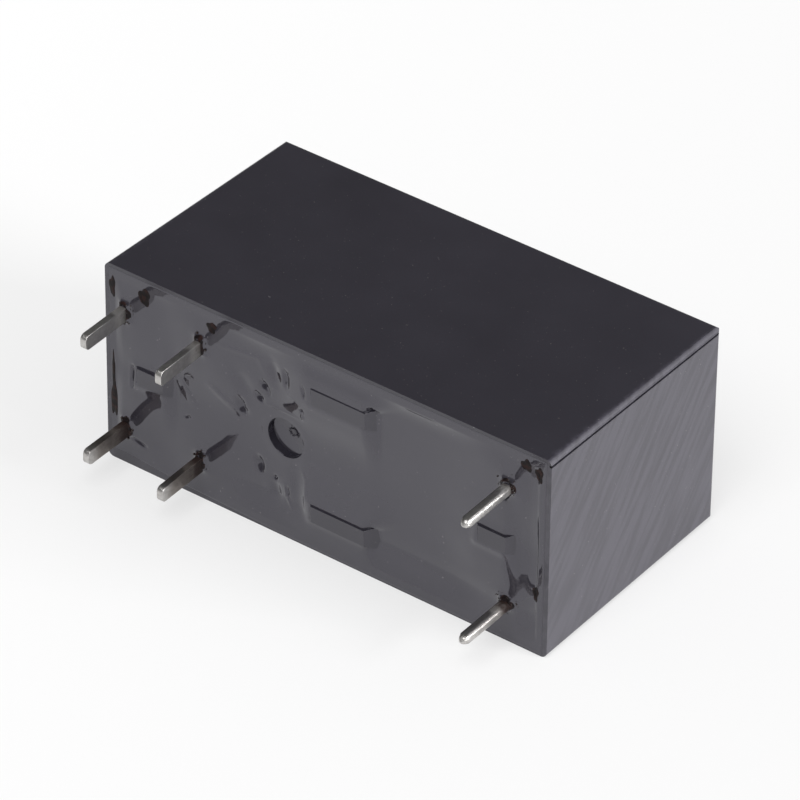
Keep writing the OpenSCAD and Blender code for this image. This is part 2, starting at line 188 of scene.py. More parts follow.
def enamelled_winding():
    """Copper wire under clear enamel, laid in turns along the coil, painted darker in the grooves
    between the turns as painted shade.
    """
    material, tree, surface, place = open_material("enamelled_copper")
    wire_d = 0.12 * MM
    along = add(tree, "ShaderNodeMapping", Vector=place, Scale=[1 / wire_d] * 3)
    wave = add(tree, "ShaderNodeTexWave", {"bands_direction": "X"}, Vector=along.outputs[0],
               Scale=1 / math.tau, Distortion=0.4, Detail=1.0)
    turns_and_painted_shade = wave.outputs["Fac"]
    surface.inputs["Metallic"].default_value = 0.8
    surface.inputs["Roughness"].default_value = 0.35
    surface.inputs["Coat Weight"].default_value = 0.5
    # Painted shade: the colour is darker in the grooves between the turns and lighter on their crowns.
    paint(tree, surface, blend_colour(tree, turns_and_painted_shade, tone(120, 56, 28), tone(196, 112, 62)))
    relief(tree, surface, turns_and_painted_shade, depth=0.03 * MM)
    return material


bobbin_plastic = moulded_plastic("bobbin_moulding", tone(206, 198, 178), tone(188, 180, 160), 0.5)
plated_iron = rolled_metal("plated_iron", tone(182, 183, 186), tone(150, 151, 156), 0.38, "y")
dress(bobbin_plastic, "bobbin")
dress(enamelled_winding(), "coil_winding")
dress(plated_iron, "core", "yoke", "armature")


# Contact drive: a pale slider over the coil, a rolled copper alloy leaf with its riveted silver
# button, the fixed button across from it, and the thin bronze leaf that holds the armature's heel.
slider_plastic = moulded_plastic("slider_moulding", tone(222, 214, 196), tone(208, 200, 180), 0.45)
leaf_copper = rolled_metal("leaf_copper", tone(202, 142, 92), tone(178, 116, 70), 0.32, "y")
leaf_bronze = rolled_metal("leaf_bronze", tone(206, 176, 112), tone(182, 148, 88), 0.32, "x")
rivet_brass = rolled_metal("rivet_brass", tone(208, 184, 126), tone(186, 158, 100), 0.35, "x")
button_silver = rolled_metal("contact_silver", tone(222, 222, 218), tone(190, 190, 188), 0.3, "z")
dress(slider_plastic, "actuator_card")
dress(leaf_copper, "contact_spring")
dress(leaf_bronze, "hinge_spring")
dress(rivet_brass, "spring_rivets")
dress(button_silver, "moving_contact", "fixed_contact")


# Terminals: blades stamped from copper sheet and square coil pins of wire, all hot tinned, with
# edges rounded by the tin and brown flux left where they leave the resin. Handling bent each pin a
# little downwards. The pins' places are in millimetres.
rim_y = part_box("cover")[0].y
pin_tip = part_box("coil_pin_a")[0].y
row_z = 3.75
outer_x = -13.05
inner_x = -8.05
post_x = 11.95
leans = {(outer_x, row_z): 0.05, (inner_x, row_z): 0.08, (outer_x, -row_z): 0.02,
         (inner_x, -row_z): 0.07, (post_x, row_z): 0.07, (post_x, -row_z): 0.04}
blade_edge = 0.14 * MM
wire_edge = 0.19 * MM
stain_ragged = 1.2
stain_outside = 0.8
stain_inside = 0.6
tip_undarkened = 0.3 * MM
tip_fade = 1.5 * MM
lower_from = 1.0 * MM
lower_to = 2.0 * MM
merge_gap = 0.0005 * MM
flat_angle = math.radians(0.3)


def settled(work, name):
    """The smooth mesh of a shape in the making."""
    mesh = bpy.data.meshes.new(name)
    work.to_mesh(mesh)
    work.free()
    mesh.shade_smooth()
    return mesh


def placed(name, data):
    """A new object of the scene."""
    made = bpy.data.objects.new(name, data)
    bpy.context.scene.collection.objects.link(made)
    return made


def applied(piece):
    """Makes what a piece's modifiers give its plain mesh."""
    shaped = piece.evaluated_get(bpy.context.evaluated_depsgraph_get())
    finished = bpy.data.meshes.new_from_object(shaped)
    piece.modifiers.clear()
    piece.data = finished
    return piece


def softened(node, name, width, sharp_deg=40, shaped=None):
    """A copy of a solid, merged, with any extra shaping done and its sharp edges rounded."""
    work = bmesh.new()
    work.from_mesh(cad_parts[node].data)
    bmesh.ops.remove_doubles(work, verts=work.verts, dist=merge_gap)
    bmesh.ops.dissolve_limit(work, angle_limit=flat_angle, verts=work.verts, edges=work.edges)
    if shaped:
        shaped(work)
    piece = placed(name, settled(work, name))
    bevel = piece.modifiers.new("edges", "BEVEL")
    bevel.width = width
    bevel.segments = 3
    bevel.limit_method = "ANGLE"
    bevel.angle_limit = math.radians(sharp_deg)
    even = piece.modifiers.new("shading", "WEIGHTED_NORMAL")
    even.weight = 100
    return applied(piece)


def seat(piece, material, body, slot, *nodes):
    """Finishes a piece: its one material and the body it moves with, and hides the solids it stands
    for. Its slot is not used.
    """
    piece.data.materials.clear()
    piece.data.materials.append(material)
    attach(piece, body)
    if nodes:
        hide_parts(*nodes)


def tinned(name, stain_l, lower_l, lower_darkness):
    """Dull tin with drawn marks, burnt at the root. On the lower pins the dark root reaches further and
    the rest is darker but near the tip.
    """
    material, tree, surface, place = open_material(name)
    marks = speckle(tree, place, size=0.05 * MM, detail=3.0, stretch=(1, 0.08, 1))
    patches = speckle(tree, place, size=0.3 * MM, detail=3.0)
    apart = add(tree, "ShaderNodeSeparateXYZ", Vector=place)
    along = apart.outputs["Y"]
    below = calc(tree, "MULTIPLY", apart.outputs["Z"], -1.0)
    # Darker by height: on the lower pins the root stain reaches further and the pin darkens but near
    # the tip.
    lower = ramp(tree, below, low=lower_from, high=lower_to)
    depth = calc(tree, "MULTIPLY_ADD", lower, lower_l, along)
    ragged = calc(tree, "MULTIPLY_ADD", patches, stain_ragged * stain_l, depth)
    stain = ramp(tree, ragged, low=rim_y - stain_outside * stain_l, high=rim_y + stain_inside * stain_l)
    behind_tip = ramp(tree, along, low=pin_tip + tip_undarkened, high=pin_tip + tip_fade)
    lower_darkened = calc(tree, "MULTIPLY", calc(tree, "MULTIPLY", lower, behind_tip), lower_darkness)
    plain_tin = blend_colour(tree, patches, tone(158, 155, 152), tone(222, 220, 218))
    tin = blend_colour(tree, lower_darkened, plain_tin, tone(118, 109, 103))
    paint(tree, surface, blend_colour(tree, stain, tin, tone(44, 33, 30)))
    tree.links.new(calc(tree, "SUBTRACT", 1.0, stain), surface.inputs["Metallic"])
    polish(tree, surface, patches, at_0=0.46, at_1=0.26)
    relief(tree, surface, calc(tree, "ADD", marks, patches), depth=0.02 * MM)
    return material


def leaned(piece):
    """Bends the free ends of the pins downwards by their leans."""
    for vert in piece.data.vertices:
        out = rim_y - vert.co.y
        if out > 0:
            x, _, z = vert.co / MM
            nearest = min(leans, key=lambda place: math.hypot(x - place[0], z - place[1]))
            vert.co.z -= out * leans[nearest]
    return piece


blade_tin = tinned("tinned_sheet", stain_l=1.0 * MM, lower_l=0.6 * MM, lower_darkness=0.85)
wire_tin = tinned("tinned_wire", stain_l=0.8 * MM, lower_l=0.5 * MM, lower_darkness=0.3)
for terminal in ("common_terminal", "fixed_terminal"):
    blade = leaned(softened(terminal, terminal + "_tinned", blade_edge))
    seat(blade, blade_tin, "housing", "tinned_copper", terminal)
for pin in ("coil_pin_a", "coil_pin_b"):
    wire = leaned(softened(pin, pin + "_tinned", wire_edge, sharp_deg=30))
    seat(wire, wire_tin, "housing", "tinned_wire", pin)


# Base plate: a black moulding that carries every terminal. Its two bars, two short pads and the
# vent well stand clear of the resin, and a rough pip marks the bottom of the well.
flow_slant = math.radians(-52)
end_from = 13.9 * MM
end_to = 14.2 * MM
flow_sheen_share = 0.8
cloud_share = 0.5
grain_share = 0.6
flow_share = 0.4
flow_height = 0.8
wave_height = 12.0
base_edge = 0.1 * MM


def dusted(tree, place, colour):
    """A colour with a few pale specks of dust."""
    specks = ramp(tree, speckle(tree, place, size=0.11 * MM, detail=1.0), low=0.765, high=0.805)
    return blend_colour(tree, specks, colour, tone(118, 115, 117))


def black_moulding(name, roughness):
    """Black plastic: a satin grain, slow waviness, slanting flow marks, and a little pale dust. On the
    ends the flow marks' light and shade is also painted into the colour.
    """
    material, tree, surface, place = open_material(name)
    clouds = speckle(tree, place, size=4 * MM)
    grain = speckle(tree, place, size=0.09 * MM)
    wave = speckle(tree, place, size=5 * MM, detail=1.0)
    slanted = add(tree, "ShaderNodeMapping", Vector=place, Rotation=(flow_slant, 0, 0))
    flow = speckle(tree, slanted.outputs[0], size=0.4 * MM, stretch=(1, 0.08, 1))
    across = calc(tree, "ABSOLUTE", add(tree, "ShaderNodeSeparateXYZ", Vector=place).outputs["X"])
    on_ends = ramp(tree, across, low=end_from, high=end_to)
    # Painted light and shade: on the ends the flow marks are painted lighter as well as raised in
    # relief.
    flow_sheen_painted = calc(tree, "MULTIPLY", ramp(tree, flow, low=0.35, high=0.65), on_ends)
    clouded = calc(tree, "MULTIPLY", clouds, cloud_share)
    mottle_and_flow_sheen = calc(tree, "MULTIPLY_ADD", flow_sheen_painted, flow_sheen_share, clouded)
    black = blend_colour(tree, mottle_and_flow_sheen, tone(39, 37, 44), tone(56, 54, 62))
    paint(tree, surface, dusted(tree, place, black))
    surface.inputs["IOR"].default_value = 1.68
    surface.inputs["Specular Tint"].default_value = (0.95, 0.94, 1.0, 1.0)
    spread = 0.08
    grained = calc(tree, "MULTIPLY", grain, grain_share)
    worn = calc(tree, "MULTIPLY_ADD", flow, flow_share, grained)
    polish(tree, surface, worn, at_0=roughness - spread, at_1=roughness + spread)
    fine = calc(tree, "MULTIPLY_ADD", flow, flow_height, grain)
    height = calc(tree, "MULTIPLY_ADD", wave, wave_height, fine)
    relief(tree, surface, height, depth=0.0015 * MM)
    return material


base_black = black_moulding("base_black", roughness=0.16)
base = softened("base_plate", "base_moulding", base_edge)
seat(base, base_black, "housing", "base_plastic", "base_plate")


# Cover: one black box moulding with slightly leaning walls, pushed over the base plate and held by
# the resin inside its rim. A thin groove runs under the upper edge of its right end.
cover_edge = 0.06 * MM
score_w = 0.13 * MM
score_depth = 0.13 * MM
score_drop = -0.06 * MM
end_x = 14 * MM
end_facing = 0.6
cut_gap = 1e-8


def end_faces(work):
    """The faces of the right end and of the roundings beside it."""
    return [f for f in work.faces if f.normal.x > end_facing and f.calc_center_median().x > end_x]


def scored_cover(work):
    """Cuts the thin groove that runs under the upper edge of the right end."""
    end = max(end_faces(work), key=lambda face: face.calc_area())
    half_way = end.calc_center_median().y
    near = max((v.co for v in end.verts if v.co.y < half_way), key=lambda co: co.z).copy()
    beyond = max((v.co for v in end.verts if v.co.y > half_way), key=lambda co: co.z).copy()
    along = (beyond - near).normalized()
    down = Vector((0, along.z, -along.y))
    start = near + down * score_drop
    for depth in (0, score_w):
        faces = end_faces(work)
        edges = list(dict.fromkeys(edge for face in faces for edge in face.edges))
        verts = list(dict.fromkeys(vert for face in faces for vert in face.verts))
        bmesh.ops.bisect_plane(work, geom=faces + edges + verts, dist=cut_gap,
                               plane_co=start + down * depth, plane_no=down)
    strip = [f for f in end_faces(work) if 0 < (f.calc_center_median() - start).dot(down) < score_w]
    sunk = bmesh.ops.extrude_face_region(work, geom=strip)["geom"]
    moved = [item for item in sunk if isinstance(item, bmesh.types.BMVert)]
    bmesh.ops.translate(work, verts=moved, vec=(-score_depth, 0, 0))
    bmesh.ops.delete(work, geom=strip, context="FACES")


cover_black = black_moulding("cover_black", roughness=0.32)
cover_shell = softened("cover", "cover_moulding", cover_edge, shaped=scored_cover)
seat(cover_shell, cover_black, "housing", "cover_plastic", "cover")


# Sealing resin: black epoxy poured over the base plate. It cured hollow and as smooth as glass, wets
# the rim, pins and standoffs, stops at the vent's lip, and shows what lies under it as dents and
# creases. Sizes are in millimetres here and in the two sections after it.
resin_lo, resin_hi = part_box("sealing_resin")
left_x = resin_lo.x / MM
right_x = resin_hi.x / MM
lower_z = resin_lo.z / MM
upper_z = resin_hi.z / MM
vent_x = -2.6
vent_r = 1.2
vent_cells = 20
cell = vent_r / vent_cells
sink = 0.25
level_y = rim_y / MM + sink
flood = 0.56

# How far the resin climbs each wall, how sharply it bends there, and how far it laps over the rim.
# The lower lap is narrow at the left end.
wall_climb = {"left": 0.6, "right": 0.18, "lower": 1.7, "upper": 1.1}
wall_bend = {"left": 2.0, "right": 2.0, "lower": 1.05, "upper": 2.2}
rim_lap = {"left": 0.4, "right": 0.4, "lower": 0.6, "upper": 0.5}
lap_t = 0.02
lap_edge = 0.12
lap_edge_drop = 0.8 * lap_t
lower_lap_x = [-13.8, -13.0, -10.0, -3.0]
lower_lap_share = [0.05, 0.05, 0.6, 1.0]

# Each pin: its middle and half its thickness. Resin swells towards it and wets it.
blade_half = (0.2, 0.45)
post_half = (0.3, 0.3)
blades = [((x, z), blade_half) for x in (outer_x, inner_x) for z in (-row_z, row_z)]
posts = [((post_x, z), post_half) for z in (-row_z, row_z)]
pins = blades + posts
pin_swell = 0.36
pin_swell_w = 2.8
wet_rise = 0.2
wet_w = 0.18

# Each standoff: its middle, half its size, the height of the wide swell and of the narrow foot on its
# upper and lower side, and how much slower the swell ends above it.
bar_half = (1.95, 0.52)
pad_half = (1.075, 0.52)
standoffs = [
    ((1.15, row_z), bar_half, (0.47, 0.5), (0.0, 0.05), 2.0),
    ((1.15, -row_z), bar_half, (0.36, 0.4), (0.1, 0.12), 2.0),
    ((-11.3, 0.0), pad_half, (0.22, 0.28), (0.05, 0.12), 0.0),
    ((11.075, 0.0), pad_half, (0.25, 0.3), (0.05, 0.12), 0.0),
]
side_span = 2.0
swell_w = 1.9
swell_end = 1.1
swell_fall = 0.95
foot_w = 0.35
foot_end = 0.7
end_lead = 0.5

# The lip round the vent, and the troughs along the right wall and the lower wall.
lip_rise = 0.02
lip_out = 0.15
lip_w = 0.3
trough_depth = 0.1
right_trough_x = 13.2
right_trough_w = 0.6
lower_trough_z = -4.3
lower_trough_w = 0.8
lower_trough_from = -8
lower_trough_ease = 5

# Each crease or dent: the line it follows, its half width, and its height, below 0 for a dent.
fold_fade = 0.6
folds = [
    ([(-2.52, 4.3), (-2.48, 3.5)], 0.16, -0.18),
    ([(-3.5, 4.5), (-3.15, 3.3)], 0.35, -0.12),
    ([(-4.15, 2.9), (-3.9, 2.6)], 0.16, -0.21),
    ([(-3.78, 2.6), (-3.7, 2.2)], 0.1, -0.08),
    ([(-4.5, 1.95), (-4.2, 1.72)], 0.16, -0.21),
    ([(-2.48, 2.93), (-1.95, 2.95), (-1.5, 2.7), (-1.34, 2.45)], 0.05, 0.012),
    ([(-1.36, 2.5), (-1.36, 2.4)], 0.09, -0.2),
    ([(-1.34, 2.1), (-1.34, 1.85)], 0.09, 0.06),
    ([(-1.25, 4.05), (-1.08, 3.45)], 0.09, -0.12),
    ([(-3.9, 1.62), (-1.69, 1.74)], 0.07, 0.03),
    ([(-5.64, 1.15), (-5.5, 0.6), (-5.3, 0.5)], 0.2, -0.25),
    ([(-7.5, 1.3), (-5.9, 0.35)], 0.25, 0.05),
    ([(-5.7, 2.9), (-5.0, 1.7)], 0.5, -0.12),
    ([(-6.7, 4.2), (-4.35, 4.34), (-3.94, 3.5)], 0.16, 0.03),
    ([(-9.1, 1.17), (-8.75, 1.25)], 0.07, -0.04),
    ([(-9.5, 0.0), (-9.0, 0.4)], 0.8, 0.07),
    ([(-9.2, -1.45), (-8.95, -1.35)], 0.07, -0.1),
    ([(-4.44, -2.1), (-4.27, -2.7)], 0.2, -0.27),
    ([(-4.3, -2.6), (-4.24, -2.8)], 0.15, -0.08),
    ([(-3.33, -2.82), (-3.3, -2.95)], 0.09, -0.26),
    ([(-3.29, -3.1), (-3.2, -4.3)], 0.33, -0.12),
    ([(-2.49, -3.1), (-2.4, -3.6)], 0.09, -0.14),
    ([(-2.62, -3.0), (-2.5, -3.7), (-2.15, -4.3)], 0.1, 0.05),
    ([(-1.8, -1.7), (-1.65, -4.2)], 0.5, -0.13),
    ([(-1.5, -1.55), (-1.2, -2.1), (-1.15, -4.0)], 0.14, 0.03),
    ([(-12.75, -4.33), (-11.85, -4.64)], 0.1, -0.2),
    ([(-12.62, 0.4), (-12.6, -0.9)], 0.09, -0.2),
    ([(3.05, 4.4), (3.2, 4.38)], 0.15, -0.4),
    ([(11.9, 3.2), (11.78, 2.8)], 0.12, -0.2),
]

# Each slow swell of the whole face: how fast it runs along and across, and where it starts.
draw = np.random.RandomState(7)
slow_rise = 0.005
slow_count = 8
most_along = 1.1
most_across = 1.3
slow_swells = [(draw.uniform(-most_along, most_along), draw.uniform(-most_across, most_across),
                draw.uniform(0, math.tau)) for _ in range(slow_count)]


def from_block(x, z, middle, half):
    """Distance outside an upright block, 0 inside it."""
    dx = np.maximum(np.abs(x - middle[0]) - half[0], 0)
    dz = np.maximum(np.abs(z - middle[1]) - half[1], 0)
    return np.hypot(dx, dz)


def along_line(x, z, start, end):
    """How far along a straight line a place is, 0 at its start and 1 at its end."""
    run_x = end[0] - start[0]
    run_z = end[1] - start[1]
    return ((x - start[0]) * run_x + (z - start[1]) * run_z) / (run_x ** 2 + run_z ** 2)


def from_line(x, z, points):
    """Distance from a line through the points."""
    nearest = np.full(x.shape, np.inf)
    for start, end in zip(points, points[1:]):
        share = np.clip(along_line(x, z, start, end), 0, 1)
        off_x = x - start[0] - share * (end[0] - start[0])
        off_z = z - start[1] - share * (end[1] - start[1])
        nearest = np.minimum(nearest, np.hypot(off_x, off_z))
    return nearest


def taper(x, z, points):
    """1 half way along a line through the points, less towards its ends."""
    share = along_line(x, z, points[0], points[-1])
    return 1 - fold_fade * np.clip(2 * share - 1, -1, 1) ** 2


def mound(distance, width):
    """1 on the line and 0 well away from it."""
    return np.exp(-((distance / width) ** 2))


def eased(share):
    """A smooth step from 0 to 1."""
    share = np.clip(share, 0, 1)
    return share * share * (3 - 2 * share)


def shore(x, z, middle, half, broad, foot, fan):
    """Resin drawn up a standoff: a wide swell, a narrow foot by its flanks, little at its right end."""
    away = from_block(x, z, middle, half)
    beyond = x - middle[0] - half[0] + end_lead
    upper_share = eased((z - middle[1]) / side_span + 0.5)
    swell = broad[1] + (broad[0] - broad[1]) * upper_share
    drawn = foot[1] + (foot[0] - foot[1]) * upper_share
    above = np.maximum(z - middle[1] - half[1], 0)
    swell *= 1 - swell_fall * eased(beyond / (swell_end + fan * above))
    drawn *= 1 - eased(beyond / foot_end)
    return swell * mound(away, swell_w) + drawn * mound(away, foot_w)


def banks(x, z):
    """The resin's climb at the walls, and how much of the place it takes up."""
    walls = {"left": x - left_x, "right": right_x - x, "lower": z - lower_z, "upper": upper_z - z}
    bank = np.zeros(x.shape)
    taken = np.zeros(x.shape)
    for side, distance in walls.items():
        climbed = np.clip(1 - distance / wall_climb[side], 0, 1) ** wall_bend[side]
        bank = np.maximum(bank, (sink + lap_t) * climbed)
        taken = np.maximum(taken, climbed)
    return bank, taken


def resin_rise(x, z):
    """How far the resin stands above its level."""
    towards_pins = np.zeros(x.shape)
    wetted = np.zeros(x.shape)
    for middle, half in pins:
        away = from_block(x, z, middle, half)
        towards_pins += mound(away, pin_swell_w) ** 3
        wetted = np.maximum(wetted, wet_rise * np.exp(-away / wet_w))
    rise = pin_swell * np.cbrt(towards_pins) + wetted
    for standoff in standoffs:
        rise += shore(x, z, *standoff)
    rise += lip_rise * mound(np.hypot(x - vent_x, z) - vent_r - lip_out, lip_w)
    rise -= trough_depth * mound(x - right_trough_x, right_trough_w)
    lower_trough = mound(z - lower_trough_z, lower_trough_w)
    rise -= trough_depth * lower_trough * eased((x - lower_trough_from) / lower_trough_ease)
    for points, width, height in folds:
        rise += height * taper(x, z, points) * mound(from_line(x, z, points), width)
    for wave_x, wave_z, phase in slow_swells:
        rise += slow_rise * np.sin(wave_x * x + wave_z * z + phase)
    bank, taken = banks(x, z)
    return bank + (1 - taken) * np.minimum(rise, flood)


def lines_through(middle, low, high):
    """Grid lines a cell apart through the middle, ending on both edges."""
    first = math.ceil((low - middle) / cell)
    last = math.floor((high - middle) / cell)
    lines = middle + cell * np.arange(first, last + 1)
    inside = lines[(lines > low + cell / 2) & (lines < high - cell / 2)]
    return np.concatenate(([low], inside, [high]))


def resin_face():
    """Places of the upper side's points, on a grid that bends round the vent and laps over the rim."""
    xs = lines_through(vent_x, left_x - rim_lap["left"], right_x + rim_lap["right"])
    zs = lines_through(0.0, lower_z - rim_lap["lower"], upper_z + rim_lap["upper"])
    x, z = np.meshgrid(xs, zs, indexing="ij")
    ring = np.maximum(np.abs(x - vent_x), np.abs(z))
    round_share = 1 - np.clip(ring / vent_r - 1, 0, 1)
    shrink = ring / np.maximum(np.hypot(x - vent_x, z), cell / 10)
    pull = 1 + round_share * (shrink - 1)
    bent_x = vent_x + (x - vent_x) * pull
    bent_z = z * pull
    y = level_y - resin_rise(bent_x, bent_z)
    lap_share = np.interp(bent_x, lower_lap_x, lower_lap_share)
    bent_z = np.where(bent_z < lower_z, lower_z + (bent_z - lower_z) * lap_share, bent_z)
    edge = np.minimum.reduce((xs[-1] - x, zs[-1] - z, z - zs[0]))
    y += lap_edge_drop * (1 - np.sqrt(1 - (1 - np.clip(edge / lap_edge, 0, 1)) ** 2))
    return xs, zs, np.stack((bent_x, y, bent_z), -1) * MM, ring


def extruded(work, edges, place):
    """Draws open edges out to where place puts each of their points."""
    drawn = bmesh.ops.extrude_edge_only(work, edges=edges)["geom"]
    for vert in [part for part in drawn if isinstance(part, bmesh.types.BMVert)]:
        vert.co = place(vert.co)
    drawn_edges = [part for part in drawn if isinstance(part, bmesh.types.BMEdge)]
    return [edge for edge in drawn_edges if len(edge.link_faces) == 1]


def onto_rim(co):
    """A place straight back on the rim's plane, or itself if it is further back."""
    return Vector((co.x, max(co.y, rim_y), co.z))


def inside_rim(co):
    """The nearest place on the inner side of the wall."""
    x = min(max(co.x, resin_lo.x), resin_hi.x)
    z = min(max(co.z, resin_lo.z), resin_hi.z)
    return Vector((x, max(co.y, rim_y), z))


def on_back(co):
    """A place straight back on the resin's flat back."""
    return Vector((co.x, resin_hi.y, co.z))


def by_vent(edge):
    """Whether an edge lies by the vent."""
    co = edge.verts[0].co
    return math.hypot(co.x / MM - vent_x, co.z / MM) < 2 * vent_r


def creased(work, name, sharp_deg):
    """A piece from a shape in the making, smooth apart from its sharp edges."""
    mesh = settled(work, name)
    mesh.set_sharp_from_angle(angle=math.radians(sharp_deg))
    return placed(name, mesh)


def poured_resin():
    """A closed sheet: the shaped upper side, its lap over the rim, its walls and a flat back."""
    xs, zs, places, ring = resin_face()
    work = bmesh.new()
    verts = {}
    for i, j in zip(*np.nonzero(ring > vent_r - cell / 2)):
        verts[i, j] = work.verts.new(places[i, j])
    for i in range(len(xs) - 1):
        for j in range(len(zs) - 1):
            middle_x = (xs[i] + xs[i + 1]) / 2
            middle_z = (zs[j] + zs[j + 1]) / 2
            if max(abs(middle_x - vent_x), abs(middle_z)) > vent_r:
                corners = ((i, j), (i + 1, j), (i + 1, j + 1), (i, j + 1))
                work.faces.new([verts[corner] for corner in corners])
    open_edges = [edge for edge in work.edges if len(edge.link_faces) == 1]
    lip = [edge for edge in open_edges if by_vent(edge)]
    outer = [edge for edge in open_edges if not by_vent(edge)]
    lapped = extruded(work, outer, onto_rim)
    walled = extruded(work, lapped, inside_rim)
    extruded(work, walled + lip, on_back)
    bmesh.ops.remove_doubles(work, verts=work.verts, dist=merge_gap)
    back = [edge for edge in work.edges if len(edge.link_faces) == 1]
    bmesh.ops.triangle_fill(work, edges=back, use_beauty=True)
    bmesh.ops.recalc_face_normals(work, faces=work.faces)
    return creased(work, "poured_resin", sharp_deg=75)


def cured_epoxy():
    """Black epoxy, glossy as glass, with faint clouds and a little pale dust."""
    material, tree, surface, place = open_material("cured_epoxy")
    clouds = speckle(tree, place, size=3 * MM)
    fine = speckle(tree, place, size=0.5 * MM)
    black = blend_colour(tree, clouds, tone(44, 42, 49), tone(50, 48, 55))
    paint(tree, surface, dusted(tree, place, black))
    surface.inputs["IOR"].default_value = 1.75
    surface.inputs["Specular Tint"].default_value = (0.93, 0.92, 1.0, 1.0)
    polish(tree, surface, clouds, at_0=0.03, at_1=0.07)
    relief(tree, surface, fine, depth=0.0015 * MM)
    return material


resin = poured_resin()
epoxy = cured_epoxy()
seat(resin, epoxy, "housing", "epoxy", "sealing_resin")


# Vent skin: the little resin that ran into the vent well and set there as a shallow dish. The moulded
# pip stands through it.
dish_r = 1.195
dish_t = 0.08
dish_climb = 0.22
dish_rings = 25
dish_steps = 64
well_depth = 0.75
well_y = level_y + well_depth


def rings(steps, reaches, place):
    """Lines of places from the middle outwards, one for each step of a full turn."""
    turns_and_painted_shade = [math.tau * step / steps for step in range(steps)]
    return [[place(turn, reach) for reach in reaches] for turn in turns_and_painted_shade]


def closed_patch(work, tops, depth):
    """A sheet from lines of places on its upper side, closed underneath at the depth below them."""
    below = Vector((0, depth, 0))
    upper = [[work.verts.new(Vector(place) * MM) for place in line] for line in tops]
    under = [[work.verts.new((Vector(place) + below) * MM) for place in line] for line in tops]
    for k, line in enumerate(upper):
        after = (k + 1) % len(upper)
        for j in range(len(line) - 1):
            work.faces.new((line[j], line[j + 1], upper[after][j + 1], upper[after][j]))
            work.faces.new((under[k][j], under[after][j], under[after][j + 1], under[k][j + 1]))
        for j in (0, -1):
            work.faces.new((line[j], upper[after][j], under[after][j], under[k][j]))


def patch_piece(name, work):
    """Merges doubles, drops loose edges, turns every face outwards, and makes the piece."""
    bmesh.ops.remove_doubles(work, verts=work.verts, dist=merge_gap)
    loose = [edge for edge in work.edges if not edge.link_faces]
    bmesh.ops.delete(work, geom=loose, context="EDGES")
    bmesh.ops.recalc_face_normals(work, faces=work.faces)
    return creased(work, name, sharp_deg=60)


def dish_place(turn, r):
    """A place on the dish, which is higher towards the well's wall."""
    high = dish_t + dish_climb * (r / dish_r) ** 2
    return (vent_x + r * math.cos(turn), well_y - high, r * math.sin(turn))


dish = bmesh.new()
closed_patch(dish, rings(dish_steps, np.linspace(0, dish_r, dish_rings), dish_place), dish_t / 4)
seat(patch_piece("vent_skin", dish), epoxy, "housing", "epoxy")


# Flux: burnt flux that crept up round each pin and ran on to the left rim before the resin set, a thin
# brown-black film with beads of it and of loose tin. Crumbs of plastic lie on the vent's pip.
film_t = 0.02
film_steps = 30
root_round = 1.15
root_steps = 24
skirt_w = 0.11
skirt_shares = np.linspace(-0.4, 1, 6)
skirt_lobes = 5
lobe_least = 0.01
lobe_most = 0.04
smear_shares = np.linspace(0, 1, 7)
smear_crown = 1.3
smear_lobes = 0.15
smear_ripples = 0.1
pip_reaches = (0.0001, 0.19, 0.4)
pip_steps = 16
pip_high = 0.14
pip_slope = 0.3
bead_reach = 0.2
tin_reach = 0.35

# Each smear: its middle and half its size.
smears = [((-13.98, 4.9), (0.2, 0.62)), ((-13.98, -2.3), (0.22, 1.2)), ((-14.0, -0.4), (0.1, 1.0)),
          ((-11.8, 5.1), (0.36, 0.5)), ((-7.3, 5.1), (0.3, 0.32)), ((12.95, 5.35), (0.32, 0.36)),
          ((13.75, 5.1), (0.26, 0.45)), ((13.7, -2.45), (0.2, 0.45))]


def on_resin(x, z, above):
    """A place the given height above the resin's face."""
    rise = float(resin_rise(np.array([x]), np.array([z]))[0])
    return (x, level_y - rise - above, z)


def round_root(middle, half, turn, out):
    """Where a line at the given turn is, the given way out from a pin's sides."""
    x = middle[0] + (half[0] + out) * math.cos(turn) * root_round
    z = middle[1] + (half[1] + out) * math.sin(turn) * root_round
    return x, z


def skirt(middle, half):
    """Lines of places on the ragged skirt round a pin's root."""
    lobes = [(draw.uniform(lobe_least, lobe_most), draw.uniform(0, math.tau))
             for _ in range(skirt_lobes)]

    def place(turn, share):
        ragged = sum(size * math.sin(k * turn + phase) for k, (size, phase) in enumerate(lobes, 1))
        x, z = round_root(middle, half, turn, (skirt_w + ragged) * share)
        return on_resin(x, z, film_t * (1 - max(share, 0) ** 2))
    return rings(film_steps, skirt_shares, place)


def smear(middle, half):
    """Lines of places on a ragged smear."""
    phase = draw.uniform(0, math.tau)

    def place(turn, share):
        wide = 1 + smear_lobes * math.sin(3 * turn + phase) + smear_ripples * math.sin(5 * turn)
        x = middle[0] + half[0] * wide * share * math.cos(turn)
        z = middle[1] + half[1] * wide * share * math.sin(turn)
        return on_resin(x, z, film_t * (smear_crown - share ** 2))
    return rings(film_steps, smear_shares, place)


def flux_film():
    """The skirts round the pins' roots, and the smears along the rim."""
    work = bmesh.new()
    for middle, half in pins:
        closed_patch(work, skirt(middle, half), film_t)
    for middle, half in smears:
        closed_patch(work, smear(middle, half), film_t / 2)
    return patch_piece("flux_film", work)


def burnt_flux():
    """Brown-black, dull at its thin edges, with red where it is thinnest."""
    material, tree, surface, place = open_material("burnt_flux")
    clouds = speckle(tree, place, size=0.3 * MM, detail=3.0)
    thin = ramp(tree, clouds, low=0.45, high=0.65)
    paint(tree, surface, blend_colour(tree, thin, tone(22, 17, 18), tone(45, 29, 27)))
    surface.inputs["Specular IOR Level"].default_value = 0.15
    polish(tree, surface, clouds, at_0=0.3, at_1=0.55)
    relief(tree, surface, clouds, depth=0.03 * MM)
    return material


